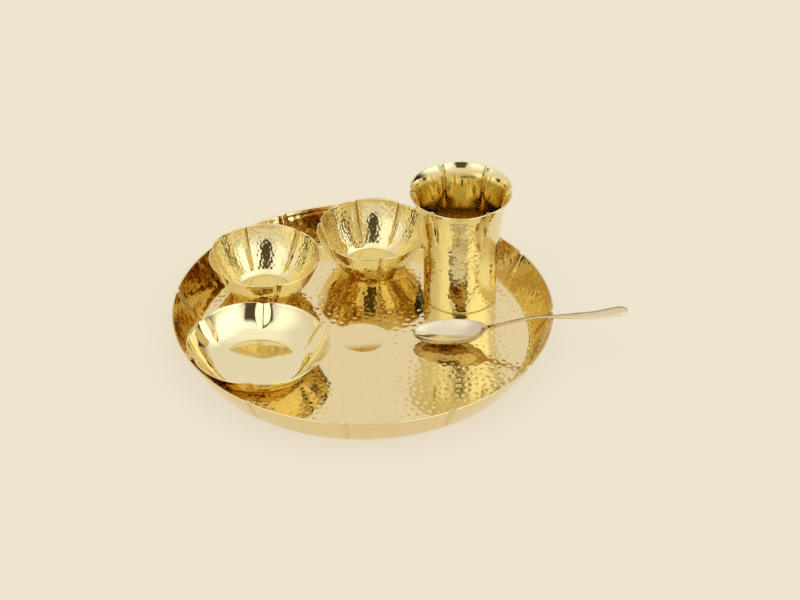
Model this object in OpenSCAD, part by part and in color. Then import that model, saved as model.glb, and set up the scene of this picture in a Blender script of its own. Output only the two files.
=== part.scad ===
/* [Plate] */
// Radius of the plate at the outside of its rim
plate_rim_r = 152.5; // [146:0.5:165]
// Radius of the flat underside that the plate rests on
plate_foot_r = 130.5; // [127:0.5:134]
// Height of the plate from its underside to its rim
plate_h = 29; // [24:0.5:36]
// Thickness of the plate's sheet
plate_wall = 1.5; // [1.1:0.1:2]
// Width of each flute pressed into the plate's wall, at the rim
plate_flute_w = 7; // [4:0.5:9]
// Depth of the plate's flutes at the rim
plate_flute_d = 1.8; // [1:0.1:2.2]

/* [Deep bowls] */
// Radius of a deep bowl at the outside of its rim
katori_rim_r = 45.5; // [42:0.5:47]
// Radius of a deep bowl's flat foot
katori_foot_r = 22.5; // [20:0.5:24]
// Height of a deep bowl
katori_h = 36.5; // [32:0.5:40]
// Thickness of a deep bowl's sheet
katori_wall = 1.1; // [0.9:0.1:1.6]
// Width of each flute of a deep bowl, at the rim
katori_flute_w = 5; // [3:0.5:7]
// Depth of a deep bowl's flutes at the rim
katori_flute_d = 1.6; // [1:0.1:2]
// How far the rim of a deep bowl swells outward between two flutes
katori_lobe = 0.9; // [0.4:0.1:1.2]

/* [Shallow bowl] */
// Radius of the shallow bowl at the outside of its rim
dish_rim_r = 57; // [53:0.5:59]
// Radius of the shallow bowl's flat foot
dish_foot_r = 32.5; // [29:0.5:36]
// Height of the shallow bowl
dish_h = 22.5; // [20:0.5:26]
// Thickness of the shallow bowl's sheet
dish_wall = 1.1; // [0.9:0.1:1.6]
// Width of each flute of the shallow bowl, at the rim
dish_flute_w = 15; // [10:0.5:18]
// Depth of the shallow bowl's flutes at the rim
dish_flute_d = 1.9; // [1.2:0.1:2.2]
// How far the shallow bowl's rim swells outward between two flutes
dish_lobe = 0.6; // [0.3:0.1:0.9]

/* [Tumbler] */
// Radius of the tumbler at the outside of its lip
tumbler_lip_r = 42; // [39:0.5:44]
// Radius of the tumbler's flat foot
tumbler_foot_r = 29; // [27.5:0.1:30.5]
// Height of the tumbler
tumbler_h = 101; // [94:0.5:110]
// Thickness of the tumbler's sheet
tumbler_wall = 1.1; // [0.9:0.1:1.6]
// Width of each flute of the tumbler, at the lip
tumbler_flute_w = 5; // [3:0.5:7]
// Depth of the tumbler's flutes at the lip
tumbler_flute_d = 1.7; // [1:0.1:2]
// How far the tumbler's lip swells outward between two flutes
tumbler_lobe = 0.9; // [0.4:0.1:1.2]

/* [Spoon] */
// Length of the spoon's bowl
spoon_bowl_l = 59.5; // [56:0.5:63]
// Width of the spoon's bowl
spoon_bowl_w = 33.5; // [31:0.5:36]
// Depth of the spoon's bowl
spoon_bowl_d = 9.5; // [8:0.5:11]
// How far the handle stands above the edge of the spoon's bowl
spoon_rise = 9.8; // [8.6:0.2:11]
// Length of the spoon's handle
spoon_handle_l = 113.5; // [108:0.5:120]
// Width of the handle at its narrow neck
spoon_neck_w = 3.8; // [3.4:0.1:5]
// Width of the handle near its rounded end
spoon_end_w = 13.5; // [11:0.5:16]
// How far the handle's end turns up
spoon_end_lift = 3.4; // [2:0.2:4.6]
// Crown of the handle's upper face
spoon_crown = 0.5; // [0.3:0.1:0.8]
// Thickness of the spoon's metal
spoon_wall = 1.6; // [1.3:0.1:2]

/* [Places] */
// Gap on the plate's floor between a deep bowl's foot and the turn of the plate's wall
katori_edge_gap = 5.5; // [4:0.5:9]
// Gap on the plate's floor between the tumbler's foot and the turn of the plate's wall
tumbler_edge_gap = 1.2; // [0.8:0.1:3]
// Gap between the flutes of the shallow bowl and of the plate where they face each other
dish_edge_gap = 1.2; // [0.8:0.1:2]
// Gap between the tumbler's side and the rim of the back bowl
tumbler_katori_gap = 6.5; // [5:0.1:8]
// Gap between the rims of the two deep bowls
katori_katori_gap = 3.7; // [1.5:0.1:6]
// Gap between the left bowl's rim and the flute of the shallow bowl that faces it, seen from above
katori_dish_gap = 1.3; // [0.8:0.1:4]
// Gap between the tumbler's side and the spoon's bowl
spoon_tumbler_gap = 22; // [18:0.5:26]
// How far inside the plate's rim the spoon's bowl rests
spoon_reach_in = 83; // [78:0.5:88]
// Clearance under the spoon, at the plate's floor and over its rim
spoon_clearance = 0.3; // [0.2:0.05:0.5]

/* [Hidden] */

// Outlines, each point as a share of the way from the foot to the rim, and a share of the height
plate_outline_shares = [[0, 0], [0.16, 0.02], [0.3, 0.1], [0.43, 0.24], [0.72, 0.6], [1, 1]];
katori_outline_shares = [[0, 0], [0.065, 0.027], [0.16, 0.08], [0.27, 0.164], [0.405, 0.274], [0.535, 0.384],
                         [0.65, 0.493], [0.75, 0.603], [0.85, 0.74], [0.935, 0.877], [1, 1]];
dish_outline_shares = [[0, 0], [0.08, 0.018], [0.2, 0.067], [0.385, 0.178], [0.585, 0.356], [0.75, 0.556],
                       [0.9, 0.8], [1, 1]];
tumbler_outline_shares = [[0, 0], [0.023, 0.015], [0.038, 0.08], [0.054, 0.3], [0.085, 0.455],
                          [0.146, 0.525], [0.231, 0.595], [0.331, 0.673], [0.423, 0.752], [0.515, 0.822],
                          [0.615, 0.881], [0.715, 0.926], [0.823, 0.96], [0.908, 0.98], [1, 1]];

// Directions of the flutes, as they were set by hand, in degrees from the right
plate_flutes = [-1, 31, 60, 88, 116, 143, 169, 203, 234, 265, 297, 328];
left_flutes = [-10, 52, 114, 168, 220, 284];
back_flutes = [-14, 57, 110, 166, 224, 280];
dish_flutes = [-34, 22, 86, 144, 204, 263];
tumbler_flutes = [1, 56, 112, 177, 234, 302];

// Share of the height at which the flutes fade out
wall_fade_share = 0.04;
dish_fade_share = 0.1;
tumbler_fade_share = 0.55;

// Direction in which the shallow bowl stands, and in which the spoon points, in degrees from the right
dish_angle = 203.6;
spoon_angle = -4.6;

// Overlap of a sheet's wall with its flat round floor, as a share of the foot's radius
floor_lap_share = 0.08;
floor_join_share = 0.04;

// Where the spoon's neck starts to rise and how long it takes, as shares of half the bowl
neck_start_share = 0.43;
neck_length_share = 2.05;

// Along the handle: the end of the neck, the start of the wide end, where the end starts to turn up
// and the start of its round tip
neck_fade_share = 0.1;
handle_flare_share = 0.42;
handle_turn_share = 0.72;
handle_round_share = 0.93;
handle_station_shares = [0, 0.03, 0.07, 0.12, 0.2, 0.35, 0.5, 0.6, 0.7, 0.8, 0.9, 0.94, 0.97, 0.99, 1];

// What the neck gains in half width where it meets the bowl, as a share of its width
neck_root_share = 0.33;

// How much of its end the handle keeps past the round tip's widest place, as a share
tip_overrun_share = 1.01;

// The rim's rounding rises by this part of the sheet's thickness
rim_round_parts = 4;

// How finely the walls are drawn
path_steps = 2;
lobe_steps = 4;
spoon_side_steps = 6;

function lerp(a, b, t) = a + (b - a) * t;
function ease(t) = t <= 0 ? 0 : t >= 1 ? 1 : t * t * (3 - 2 * t);
function pick(list, i) = list[max(0, min(len(list) - 1, i))];

// One point of a smooth curve through four neighbouring points
function curve_point(a, b, c, d, t) =
    0.5 * (2 * b + (c - a) * t + (2 * a - 5 * b + 4 * c - d) * t * t + (3 * b - a - 3 * c + d) * t * t * t);

// A smooth curve through a list of points
function smooth(points, steps) = [
    for (i = [0 : len(points) - 2]) for (k = [0 : steps - 1])
        curve_point(pick(points, i - 1), points[i], points[i + 1], pick(points, i + 2), k / steps),
    points[len(points) - 1]
];

// The outside of a wall, from the flat foot to the rim, as radius and height
function outside(shares, foot_r, rim_r, h) = concat(
    [[foot_r * (1 - floor_lap_share), 0]],
    [for (p = smooth(shares, path_steps)) [lerp(foot_r, rim_r, p[0]), h * max(0, p[1])]]
);

// The direction across the sheet at one point of its outside: level at the rim, upright at the foot
function across(path, i) =
    let (d = i == 0 ? [1, 0] : i == len(path) - 1 ? [0, 1] : path[i + 1] - path[i - 1])
    [-d[1], d[0]] / norm(d);

// The inside of the same wall
function inside(path, wall) = [for (i = [0 : len(path) - 1]) path[i] + across(path, i) * wall];

// The whole section of a sheet: up its outside, over its rounded rim and down its inside
function section(path, wall) = concat(
    path,
    [path[len(path) - 1] + [-wall / 2, wall / rim_round_parts]],
    [for (i = [len(path) - 1 : -1 : 0]) inside(path, wall)[i]]
);

// Columns around a fluted wall: direction, depth of the flute there, and swell of the lobe there
function columns(flutes, half_turn) = [
    for (i = [0 : len(flutes) - 1])
        let (a = flutes[i], b = i + 1 < len(flutes) ? flutes[i + 1] : flutes[0] + 360)
        for (c = concat(
            [[a, 1], [a + half_turn / 2, 0.5]],
            [for (k = [0 : lobe_steps]) [lerp(a + half_turn, b - half_turn, k / lobe_steps), 0]],
            [[b - half_turn / 2, 0.5]]))
            [c[0], c[1], sin(180 * (c[0] - a) / (b - a))]
];

// A ring of points closed around the middle, one section at each column
function sheet_points(sec, cols, h, fade, depth, lobe) = [
    for (c = cols) for (p = sec)
        let (r = p[0] - drawn_in(p[1] / h, fade, depth * c[1] + lobe * (1 - c[2])))
        [r * cos(c[0]), r * sin(c[0]), p[1]]
];

function ring_faces(m, n) = [
    for (i = [0 : n - 1]) for (j = [0 : m - 1])
        let (i2 = (i + 1) % n, j2 = (j + 1) % m)
        let (a = i * m + j, b = i * m + j2, c = i2 * m + j2, d = i2 * m + j)
        for (f = [[a, b, c], [a, c, d]]) f
];

// The half width of a flute as an angle
function flute_turn(width, rim_r) = atan(width / 2 / rim_r);

// A fluted vessel of sheet metal that stands on a flat round foot
module vessel(shares, foot_r, rim_r, h, wall, flutes, flute_w, flute_d, lobe, fade) {
    sec = section(outside(shares, foot_r, rim_r, h - wall / rim_round_parts), wall);
    cols = columns(flutes, flute_turn(flute_w, rim_r));
    union() {
        cylinder(h = wall, r = foot_r * (1 - floor_join_share), $fn = 96);
        polyhedron(sheet_points(sec, cols, h, fade, flute_d, lobe), ring_faces(len(sec), len(cols)));
    }
}

// The outer radius of a vessel's wall at a height above its foot
function radius_at(path, z, i = 1) =
    i >= len(path) - 1 || path[i][1] >= z
        ? lerp(path[i - 1][0], path[i][0],
               min(1, (z - path[i - 1][1]) / max(path[i][1] - path[i - 1][1], path[i][1] / 100)))
        : radius_at(path, z, i + 1);

// How far a wall draws in at a flute, at a height given as a share of its own
function drawn_in(share, fade, depth) = depth * ease((share - fade) / (1 - fade));

// The angle at the centre between two places, for a given distance between them
function angle_between(reach_a, reach_b, apart) =
    acos((reach_a * reach_a + reach_b * reach_b - apart * apart) / (2 * reach_a * reach_b));

plate_inside = inside(outside(plate_outline_shares, plate_foot_r, plate_rim_r, plate_h), plate_wall);
tumbler_path = outside(tumbler_outline_shares, tumbler_foot_r, tumbler_lip_r, tumbler_h);

// How far from the plate's centre each vessel stands
katori_reach = plate_foot_r - katori_foot_r - katori_edge_gap;
tumbler_reach = plate_foot_r - tumbler_foot_r - tumbler_edge_gap;
dish_path = outside(dish_outline_shares, dish_foot_r, dish_rim_r, dish_h);

// The shallow bowl's wall stays clear of the plate's wall at every height
dish_reach = min([for (p = dish_path)
    radius_at(plate_inside, plate_wall + p[1])
        - drawn_in((plate_wall + p[1]) / plate_h, wall_fade_share, plate_flute_d)
        - (p[0] - drawn_in(p[1] / dish_h, dish_fade_share, dish_flute_d + dish_lobe))
]) - dish_edge_gap;

// The vessels follow one another around the plate, each clear of the one before
left_angle = dish_angle
    - angle_between(dish_reach, katori_reach, dish_rim_r - dish_flute_d + katori_rim_r + katori_dish_gap);
back_angle = left_angle
    - angle_between(katori_reach, katori_reach, 2 * katori_rim_r + katori_katori_gap);
tumbler_angle = back_angle
    - angle_between(katori_reach, tumbler_reach,
                   katori_rim_r + radius_at(tumbler_path, katori_h) + tumbler_katori_gap);

function place(reach, angle) = reach * [cos(angle), sin(angle)];
dish_at = place(dish_reach, dish_angle);
left_at = place(katori_reach, left_angle);
back_at = place(katori_reach, back_angle);
tumbler_at = place(tumbler_reach, tumbler_angle);

// Stations along the spoon, each as distance from the bowl's middle, half width, height of the edge
// and depth of the hollow
spoon_half_l = spoon_bowl_l / 2;
function spoon_edge(s) = spoon_rise * ease((s / spoon_half_l - neck_start_share) / neck_length_share);
function end_lift(t) = spoon_end_lift * ease((t - handle_turn_share) / (1 - handle_turn_share));
function handle_half_w(t) = lerp(spoon_neck_w, spoon_end_w, handle_width(t)) / 2
    * sqrt(max(0, 1 - pow(max(0, (t - handle_round_share) / (tip_overrun_share - handle_round_share)), 2)));
function handle_width(t) = ease((t - handle_flare_share) / (handle_round_share - handle_flare_share));
bowl_stations = [
    for (a = [10 : 14 : 150])
        [-spoon_half_l * cos(a), spoon_bowl_w / 2 * sin(a), spoon_edge(-spoon_half_l * cos(a)),
         spoon_bowl_d * pow(sin(a), 1.3)]
];
handle_stations = [
    for (t = handle_station_shares)
        [spoon_half_l + t * spoon_handle_l,
         handle_half_w(t) + spoon_neck_w * neck_root_share * (1 - ease(t / neck_fade_share)),
         spoon_edge(spoon_half_l + t * spoon_handle_l) + end_lift(t),
         -spoon_crown * ease(t / neck_fade_share)]
];
spoon_stations = concat(bowl_stations, handle_stations);

// The spoon's bowl stands beside the tumbler, and its handle crosses the plate's rim
spoon_at = [
    plate_rim_r - spoon_reach_in,
    tumbler_at[1] - radius_at(tumbler_path, 2 * spoon_bowl_d) - spoon_tumbler_gap - spoon_bowl_w / 2
];
spoon_way = [cos(spoon_angle), sin(spoon_angle)];
rim_mid_r = plate_rim_r - plate_wall / 2;
rim_run = sqrt(pow(spoon_at * spoon_way, 2) - spoon_at * spoon_at + rim_mid_r * rim_mid_r)
    - spoon_at * spoon_way;

// The lean at which the bowl rests on the plate's floor and the handle on its rim
function spoon_low(lean) =
    min([for (p = spoon_stations) p[0] * sin(lean) + (p[2] - p[3] - spoon_wall) * cos(lean)]);
function spoon_lean(lean, turns) = turns == 0 ? lean :
    let (up = plate_h - plate_wall + spoon_low(lean), rise = spoon_rise - spoon_wall)
    spoon_lean(asin(up / norm([rim_run / cos(lean), rise])) - atan(rise * cos(lean) / rim_run), turns - 1);
spoon_tilt = spoon_lean(0, 6);

function spoon_points() = [
    for (p = spoon_stations) for (top = [1, 0]) for (k = [0 : spoon_side_steps])
        let (v = (top == 1 ? 1 : -1) * (2 * k / spoon_side_steps - 1))
        [p[0], p[1] * v, p[2] - p[3] * (1 - v * v) - (1 - top) * spoon_wall]
];

function tube_faces(m, n) = concat(
    [for (i = [0 : n - 2]) for (j = [0 : m - 1])
        let (j2 = (j + 1) % m)
        let (a = i * m + j, b = i * m + j2, c = (i + 1) * m + j2, d = (i + 1) * m + j)
        for (f = [[a, c, b], [a, d, c]]) f],
    [for (j = [1 : m - 2]) [0, j, j + 1]],
    [for (j = [1 : m - 2]) let (e = (n - 1) * m) [e, e + j + 1, e + j]]
);

module seated(place) {
    translate([place[0], place[1], plate_wall]) children();
}

module plate() {
    color("#d9b65a") vessel(plate_outline_shares, plate_foot_r, plate_rim_r, plate_h, plate_wall,
        plate_flutes, plate_flute_w, plate_flute_d, 0, wall_fade_share);
}

module katori(flutes) {
    color("#e3c86c") vessel(katori_outline_shares, katori_foot_r, katori_rim_r, katori_h, katori_wall,
        flutes, katori_flute_w, katori_flute_d, katori_lobe, wall_fade_share);
}

module katori_left() {
    seated(left_at) katori(left_flutes);
}

module katori_back() {
    seated(back_at) katori(back_flutes);
}

module shallow_bowl() {
    color("#e0c070") seated(dish_at) vessel(dish_outline_shares, dish_foot_r, dish_rim_r, dish_h,
        dish_wall, dish_flutes, dish_flute_w, dish_flute_d, dish_lobe, dish_fade_share);
}

module tumbler() {
    color("#d8ae4a") seated(tumbler_at) vessel(tumbler_outline_shares, tumbler_foot_r, tumbler_lip_r,
        tumbler_h, tumbler_wall, tumbler_flutes, tumbler_flute_w, tumbler_flute_d, tumbler_lobe,
        tumbler_fade_share);
}

module spoon() {
    color("#d8cfae")
        translate([spoon_at[0], spoon_at[1], plate_wall + spoon_clearance - spoon_low(spoon_tilt)])
            rotate([0, -spoon_tilt, spoon_angle])
                polyhedron(spoon_points(), tube_faces(2 * (spoon_side_steps + 1), len(spoon_stations)));
}

plate();
katori_left();
katori_back();
shallow_bowl();
tumbler();
spoon();
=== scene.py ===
# %% [markdown]
# A thali set is a hand-finished brass plate with the bowls, the tumbler and the spoon that are used on it.
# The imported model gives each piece's true place and size. This script dresses the six pieces in finer
# sheets of metal, with the flutes and the hammer marks as real shape, and adds the light to see them by.

import math

import bpy
import numpy as np
from mathutils import Matrix, Vector


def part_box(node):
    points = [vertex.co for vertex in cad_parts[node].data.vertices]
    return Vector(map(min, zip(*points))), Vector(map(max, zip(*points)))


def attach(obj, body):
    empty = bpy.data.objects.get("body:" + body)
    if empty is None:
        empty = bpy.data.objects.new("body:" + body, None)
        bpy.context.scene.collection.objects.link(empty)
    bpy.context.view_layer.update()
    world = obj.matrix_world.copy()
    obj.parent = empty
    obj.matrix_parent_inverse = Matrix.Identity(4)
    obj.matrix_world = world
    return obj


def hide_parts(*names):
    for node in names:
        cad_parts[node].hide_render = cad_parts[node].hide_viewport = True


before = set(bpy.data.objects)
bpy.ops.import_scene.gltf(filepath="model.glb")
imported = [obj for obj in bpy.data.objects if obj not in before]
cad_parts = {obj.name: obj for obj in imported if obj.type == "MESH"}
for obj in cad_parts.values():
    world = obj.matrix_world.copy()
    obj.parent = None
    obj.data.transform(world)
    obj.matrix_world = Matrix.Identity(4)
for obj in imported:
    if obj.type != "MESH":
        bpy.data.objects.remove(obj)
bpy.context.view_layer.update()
MM = 0.001
print("nodes:", sorted(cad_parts))

# %% [markdown]
# The photograph was taken with a long lens from well above the table, so lines that run away from the
# camera hardly converge. A camera fitted to the rims and feet of all six pieces gave the numbers below.
# The set stands a little left of the middle and below it, so the camera turns towards its own upper right
# instead of shifting the lens, which keeps the other views simple.

# %% Camera
PHOTO_WIDE = 800.0
SENSOR_WIDE = 36.0
FOCAL_PX = 4359.2
CAMERA_AWAY = 3.5
CAMERA_UP = math.radians(35.77)
CAMERA_ROLL = math.radians(0.44)
ORIGIN_LEFT_PX = 37.2
ORIGIN_DOWN_PX = 39.3


def camera_axes(elevation, roll):
    forward = Vector((0, math.cos(elevation), -math.sin(elevation)))
    right = Vector((1, 0, 0))
    up = right.cross(forward)
    turned = Matrix.Rotation(roll, 3, forward)
    return forward, turned @ right, turned @ up


def make_camera():
    forward, right, up = camera_axes(CAMERA_UP, CAMERA_ROLL)
    aim = (forward * FOCAL_PX + right * ORIGIN_LEFT_PX + up * ORIGIN_DOWN_PX).normalized()
    side = aim.cross(up).normalized()
    turn = Matrix((side, side.cross(aim), -aim)).transposed().to_4x4()
    data = bpy.data.cameras.new("camera")
    data.sensor_width = SENSOR_WIDE
    data.lens = FOCAL_PX * SENSOR_WIDE / PHOTO_WIDE
    data.clip_end = 200.0
    camera = bpy.data.objects.new("camera", data)
    camera.matrix_world = Matrix.Translation(forward * -CAMERA_AWAY) @ turn
    bpy.context.scene.collection.objects.link(camera)
    bpy.context.scene.camera = camera
    return camera


camera = make_camera()
print("lens", round(camera.data.lens, 1), "mm at", tuple(round(v, 3) for v in camera.location))

# %% [markdown]
# Colours are easiest to choose as they look on a screen, as sRGB hex values, but a shader works with
# linear light. One function does that change for every colour here. A second small function adds any
# node, with its settings and its links, so that a tree reads as a list of steps.

# %% Helpers for colours and nodes


def linear(code):
    shown = [int(code[i:i + 2], 16) / 255 for i in (1, 3, 5)]
    return tuple(c / 12.92 if c <= 0.04045 else ((c + 0.055) / 1.055) ** 2.4 for c in shown) + (1.0,)


# Places of a colour mix node's two colours and of its result
MIX_A, MIX_B, MIX_OUT = 6, 7, 2


def add(tree, kind, links=None, **settings):
    node = tree.nodes.new(kind)
    for name, value in settings.items():
        setattr(node, name, value)
    for key, value in (links or {}).items():
        if isinstance(value, bpy.types.NodeSocket):
            tree.links.new(value, node.inputs[key])
        else:
            node.inputs[key].default_value = value
    return node


def colours_along(tree, value, steps):
    ramp = add(tree, "ShaderNodeValToRGB", {0: value})
    for place, colour in steps[1:-1]:
        ramp.color_ramp.elements.new(place)
    for element, (place, colour) in zip(ramp.color_ramp.elements, steps):
        element.position = place
        element.color = linear(colour)
    return ramp.outputs[0]


print("cream in linear light:", [round(c, 3) for c in linear("#efe4ce")[:3]])

# %% [markdown]
# Polished metal shows its surroundings and little else, so the studio is half of the finish. The ground is a
# wide sheet of matt cream paper. The eye sees its own colour, mostly as an even glow, so that it stays plain
# to the edge of the picture, and the matt part still takes a soft shadow under the set. The metal sees the
# same sheet glow a little paler. That paler glow is painted light, standing in for the lamps beside the
# camera lighting it more strongly near the set.

# %% Paper ground
CREAM = "#efe4ce"
PAPER_HALF = 40.0
# Painted light: the paper's glow as the metal mirrors it is paler than the paper's own cream.
PAPER_PAINTED_LIGHT = "#f6ebd4"
PAPER_GLOW = 0.8


def paper_material():
    material = bpy.data.materials.new("cream paper, matt")
    material.use_nodes = True
    tree = material.node_tree
    tree.nodes.clear()
    path = add(tree, "ShaderNodeLightPath")
    seen = add(tree, "ShaderNodeMath", {0: path.outputs["Is Camera Ray"], 1: path.outputs["Is Glossy Ray"]},
               operation="MAXIMUM")
    seen = add(tree, "ShaderNodeMath", {0: seen.outputs[0], 1: path.outputs["Is Transmission Ray"]},
               operation="MAXIMUM")
    part = add(tree, "ShaderNodeMath", {0: seen.outputs[0], 1: PAPER_GLOW}, operation="MULTIPLY")
    matt = add(tree, "ShaderNodeBsdfDiffuse", {"Color": linear(CREAM)})
    # Mirrored rays get the paler glow, which is painted light; the eye gets the plain cream.
    shown = add(tree, "ShaderNodeMix", {0: path.outputs["Is Camera Ray"], MIX_A: linear(PAPER_PAINTED_LIGHT),
                                        MIX_B: linear(CREAM)}, data_type="RGBA")
    glow = add(tree, "ShaderNodeEmission", {"Color": shown.outputs[MIX_OUT], "Strength": 1.0})
    both = add(tree, "ShaderNodeMixShader", {0: part.outputs[0], 1: matt.outputs[0], 2: glow.outputs[0]})
    add(tree, "ShaderNodeOutputMaterial", {"Surface": both.outputs[0]})
    return material


def make_ground():
    mesh = bpy.data.meshes.new("cream_paper")
    h = PAPER_HALF
    mesh.from_pydata([(-h, -h, 0), (h, -h, 0), (h, h, 0), (-h, h, 0)], [], [(0, 1, 2, 3)])
    mesh.materials.append(paper_material())
    ground = bpy.data.objects.new("cream_paper", mesh)
    bpy.context.scene.collection.objects.link(ground)
    return ground


ground = make_ground()
print("paper", [round(c, 2) for c in linear(CREAM)[:3]], "of which", PAPER_GLOW, "is even glow")

# %% [markdown]
# The bright patches in the bowls have soft edges, so their light came through wide cloth screens to the left
# and right of the camera. Cards round the set could make the same room, but other views would see them. So
# the world draws it, by two angles: how far round from the camera, and how far up. A soft edge runs from
# nothing at its first angle to full at its second, and a patch is where edges overlap.

# %% Angles and soft edges of the room


def room_angles(tree):
    way = add(tree, "ShaderNodeTexCoord").outputs["Generated"]
    part = add(tree, "ShaderNodeSeparateXYZ", {0: way})
    front = add(tree, "ShaderNodeMath", {0: part.outputs["Y"], 1: -1.0}, operation="MULTIPLY")
    turn = add(tree, "ShaderNodeMath", {0: part.outputs["X"], 1: front.outputs[0]}, operation="ARCTAN2")
    round_by = add(tree, "ShaderNodeMath", {0: turn.outputs[0]}, operation="ABSOLUTE")
    up = add(tree, "ShaderNodeMath", {0: part.outputs["Z"]}, operation="ARCSINE")
    return way, part.outputs["Z"], turn.outputs[0], round_by.outputs[0], up.outputs[0]


def soft_edge(tree, value, ends):
    return add(tree, "ShaderNodeMapRange", {"Value": value, "From Min": ends[0], "From Max": ends[1]},
               interpolation_type="SMOOTHSTEP").outputs[0]


def overlap(tree, *parts):
    whole = parts[0]
    for part in parts[1:]:
        whole = add(tree, "ShaderNodeMath", {0: whole, 1: part}, operation="MULTIPLY").outputs[0]
    return whole


def angles(*degrees):
    return tuple(math.radians(d) for d in degrees)


print("a quarter turn in radians:", round(angles(90)[0], 3))

# %% [markdown]
# The room itself is nearly white, and creamier near the ground. The right screen is wider and brighter than
# the left one, because the right side of each bowl and of the tumbler is paler in the photograph. Some light
# also falls from straight above, which the flat floors and the spoon's bowl mirror.

# %% Two soft screens and the light from above
ROOM_STEPS = [(0.0, CREAM), (0.25, "#f4efe6"), (0.55, "#f7f4f4"), (1.0, "#f4f2ee")]
SCREEN_WHITE = "#e6f6ff"
SCREEN_SHINE = (0.52, 0.78)
SCREEN_WIDE = angles(90, 135)
SCREEN_SEAM = 0.1
SCREEN_SIDES = (1.0, 0.55)
SCREEN_TOP, SCREEN_FOOT = angles(74, 50), angles(8, 26)
OVERHEAD_SHINE = 0.28
OVERHEAD_EDGE = angles(48, 76)


def lit_room(tree, height, turn, round_by, up):
    walls = colours_along(tree, height, ROOM_STEPS)
    shine, wide = (add(tree, "ShaderNodeMapRange",
                       {"Value": turn, "From Min": -SCREEN_SEAM, "From Max": SCREEN_SEAM, "To Min": left,
                        "To Max": right}).outputs[0] for left, right in (SCREEN_SHINE, SCREEN_WIDE))
    share = add(tree, "ShaderNodeMath", {0: round_by, 1: wide}, operation="DIVIDE").outputs[0]
    screen = overlap(tree, soft_edge(tree, share, SCREEN_SIDES), soft_edge(tree, up, SCREEN_TOP),
                     soft_edge(tree, up, SCREEN_FOOT), shine)
    above = overlap(tree, soft_edge(tree, up, OVERHEAD_EDGE), OVERHEAD_SHINE)
    both = add(tree, "ShaderNodeMath", {0: screen, 1: above}, operation="ADD")
    cloth = add(tree, "ShaderNodeVectorMath", {0: linear(SCREEN_WHITE)[:3], "Scale": both.outputs[0]},
                operation="SCALE")
    return add(tree, "ShaderNodeVectorMath", {0: walls, 1: cloth.outputs[0]}, operation="ADD").outputs[0]


print("screens add", SCREEN_SHINE, "and the light from above", OVERHEAD_SHINE, "to the room's own light")

# %% [markdown]
# Brass without anything dark to mirror looks like yellow plastic. The camera and its stand are a dark strip
# between the screens, narrow below and wider above, which is the small brown patch on each curved surface.
# The wall behind them is a little dimmer than the rest, which gives the patch a soft border. Low at the back
# right the room is unlit, and that is what the left side of the plate's wall shows.

# %% Dark places of the room
STAND_DARK = "#5a4e3c"
STAND_HALF, STAND_RISE = angles(11, 22), angles(15, 48)
STAND_SIDES = (1.2, 0.9)
STAND_TOP, STAND_FOOT = angles(54, 42), angles(16, 19)
SHADE_SHARE = 0.4
SHADE_SIDES, SHADE_TOP, SHADE_FOOT = angles(38, 14), angles(66, 42), angles(10, 22)
CORNER_DARK = "#2a1f17"
CORNER_WAY = (0.64, 0.77, 0.0)
CORNER_SIDES = (0.35, 0.8)
CORNER_TOP = angles(32, 12)


def dark_places(tree, room, way, round_by, up):
    shade = overlap(tree, soft_edge(tree, round_by, SHADE_SIDES), soft_edge(tree, up, SHADE_TOP),
                    soft_edge(tree, up, SHADE_FOOT), SHADE_SHARE)
    towards = add(tree, "ShaderNodeVectorMath", {0: way, 1: CORNER_WAY}, operation="DOT_PRODUCT")
    corner = overlap(tree, soft_edge(tree, towards.outputs["Value"], CORNER_SIDES),
                     soft_edge(tree, up, CORNER_TOP))
    half = add(tree, "ShaderNodeMapRange", {"Value": up, "From Min": STAND_RISE[0],
                                            "From Max": STAND_RISE[1],
                                            "To Min": STAND_HALF[0], "To Max": STAND_HALF[1]})
    beside = add(tree, "ShaderNodeMath", {0: round_by, 1: half.outputs[0]}, operation="DIVIDE").outputs[0]
    stand = overlap(tree, soft_edge(tree, beside, STAND_SIDES), soft_edge(tree, up, STAND_TOP),
                    soft_edge(tree, up, STAND_FOOT))
    for part, colour in ((shade, STAND_DARK), (corner, CORNER_DARK), (stand, STAND_DARK)):
        room = add(tree, "ShaderNodeMix", {0: part, MIX_A: room, MIX_B: linear(colour)},
                   data_type="RGBA").outputs[MIX_OUT]
    return room


print("the stand is", [round(math.degrees(a)) for a in STAND_HALF], "degrees to each side of the camera")

# %% [markdown]
# A world shader can give the eye one picture and the metal another. The eye sees plain paper all round, as
# in the photograph, and only what is mirrored or lit sees the room.

# %% Room


def make_room():
    world = bpy.data.worlds.new("studio room")
    bpy.context.scene.world = world
    world.use_nodes = True
    tree = world.node_tree
    tree.nodes.clear()
    way, height, turn, round_by, up = room_angles(tree)
    room = dark_places(tree, lit_room(tree, height, turn, round_by, up), way, round_by, up)
    eye = add(tree, "ShaderNodeLightPath").outputs["Is Camera Ray"]
    seen = add(tree, "ShaderNodeMix", {0: eye, MIX_A: room, MIX_B: linear(CREAM)}, data_type="RGBA")
    light = add(tree, "ShaderNodeBackground", {"Color": seen.outputs[MIX_OUT], "Strength": 1.0})
    add(tree, "ShaderNodeOutputWorld", {"Surface": light.outputs[0]})
    return tree


print("the room takes", len(make_room().nodes), "nodes")

# %% [markdown]
# Inside the tumbler and between the bowls the light is thrown from wall to wall many times, and each bounce
# makes the brass deeper. The renderer would stop after four such bounces and leave black there, so it is
# asked to follow them further.

# %% Bounces
MIRROR_BOUNCES = 12
bpy.context.scene.cycles.glossy_bounces = MIRROR_BOUNCES
bpy.context.scene.cycles.max_bounces = MIRROR_BOUNCES
print("mirror bounces:", MIRROR_BOUNCES)
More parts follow.
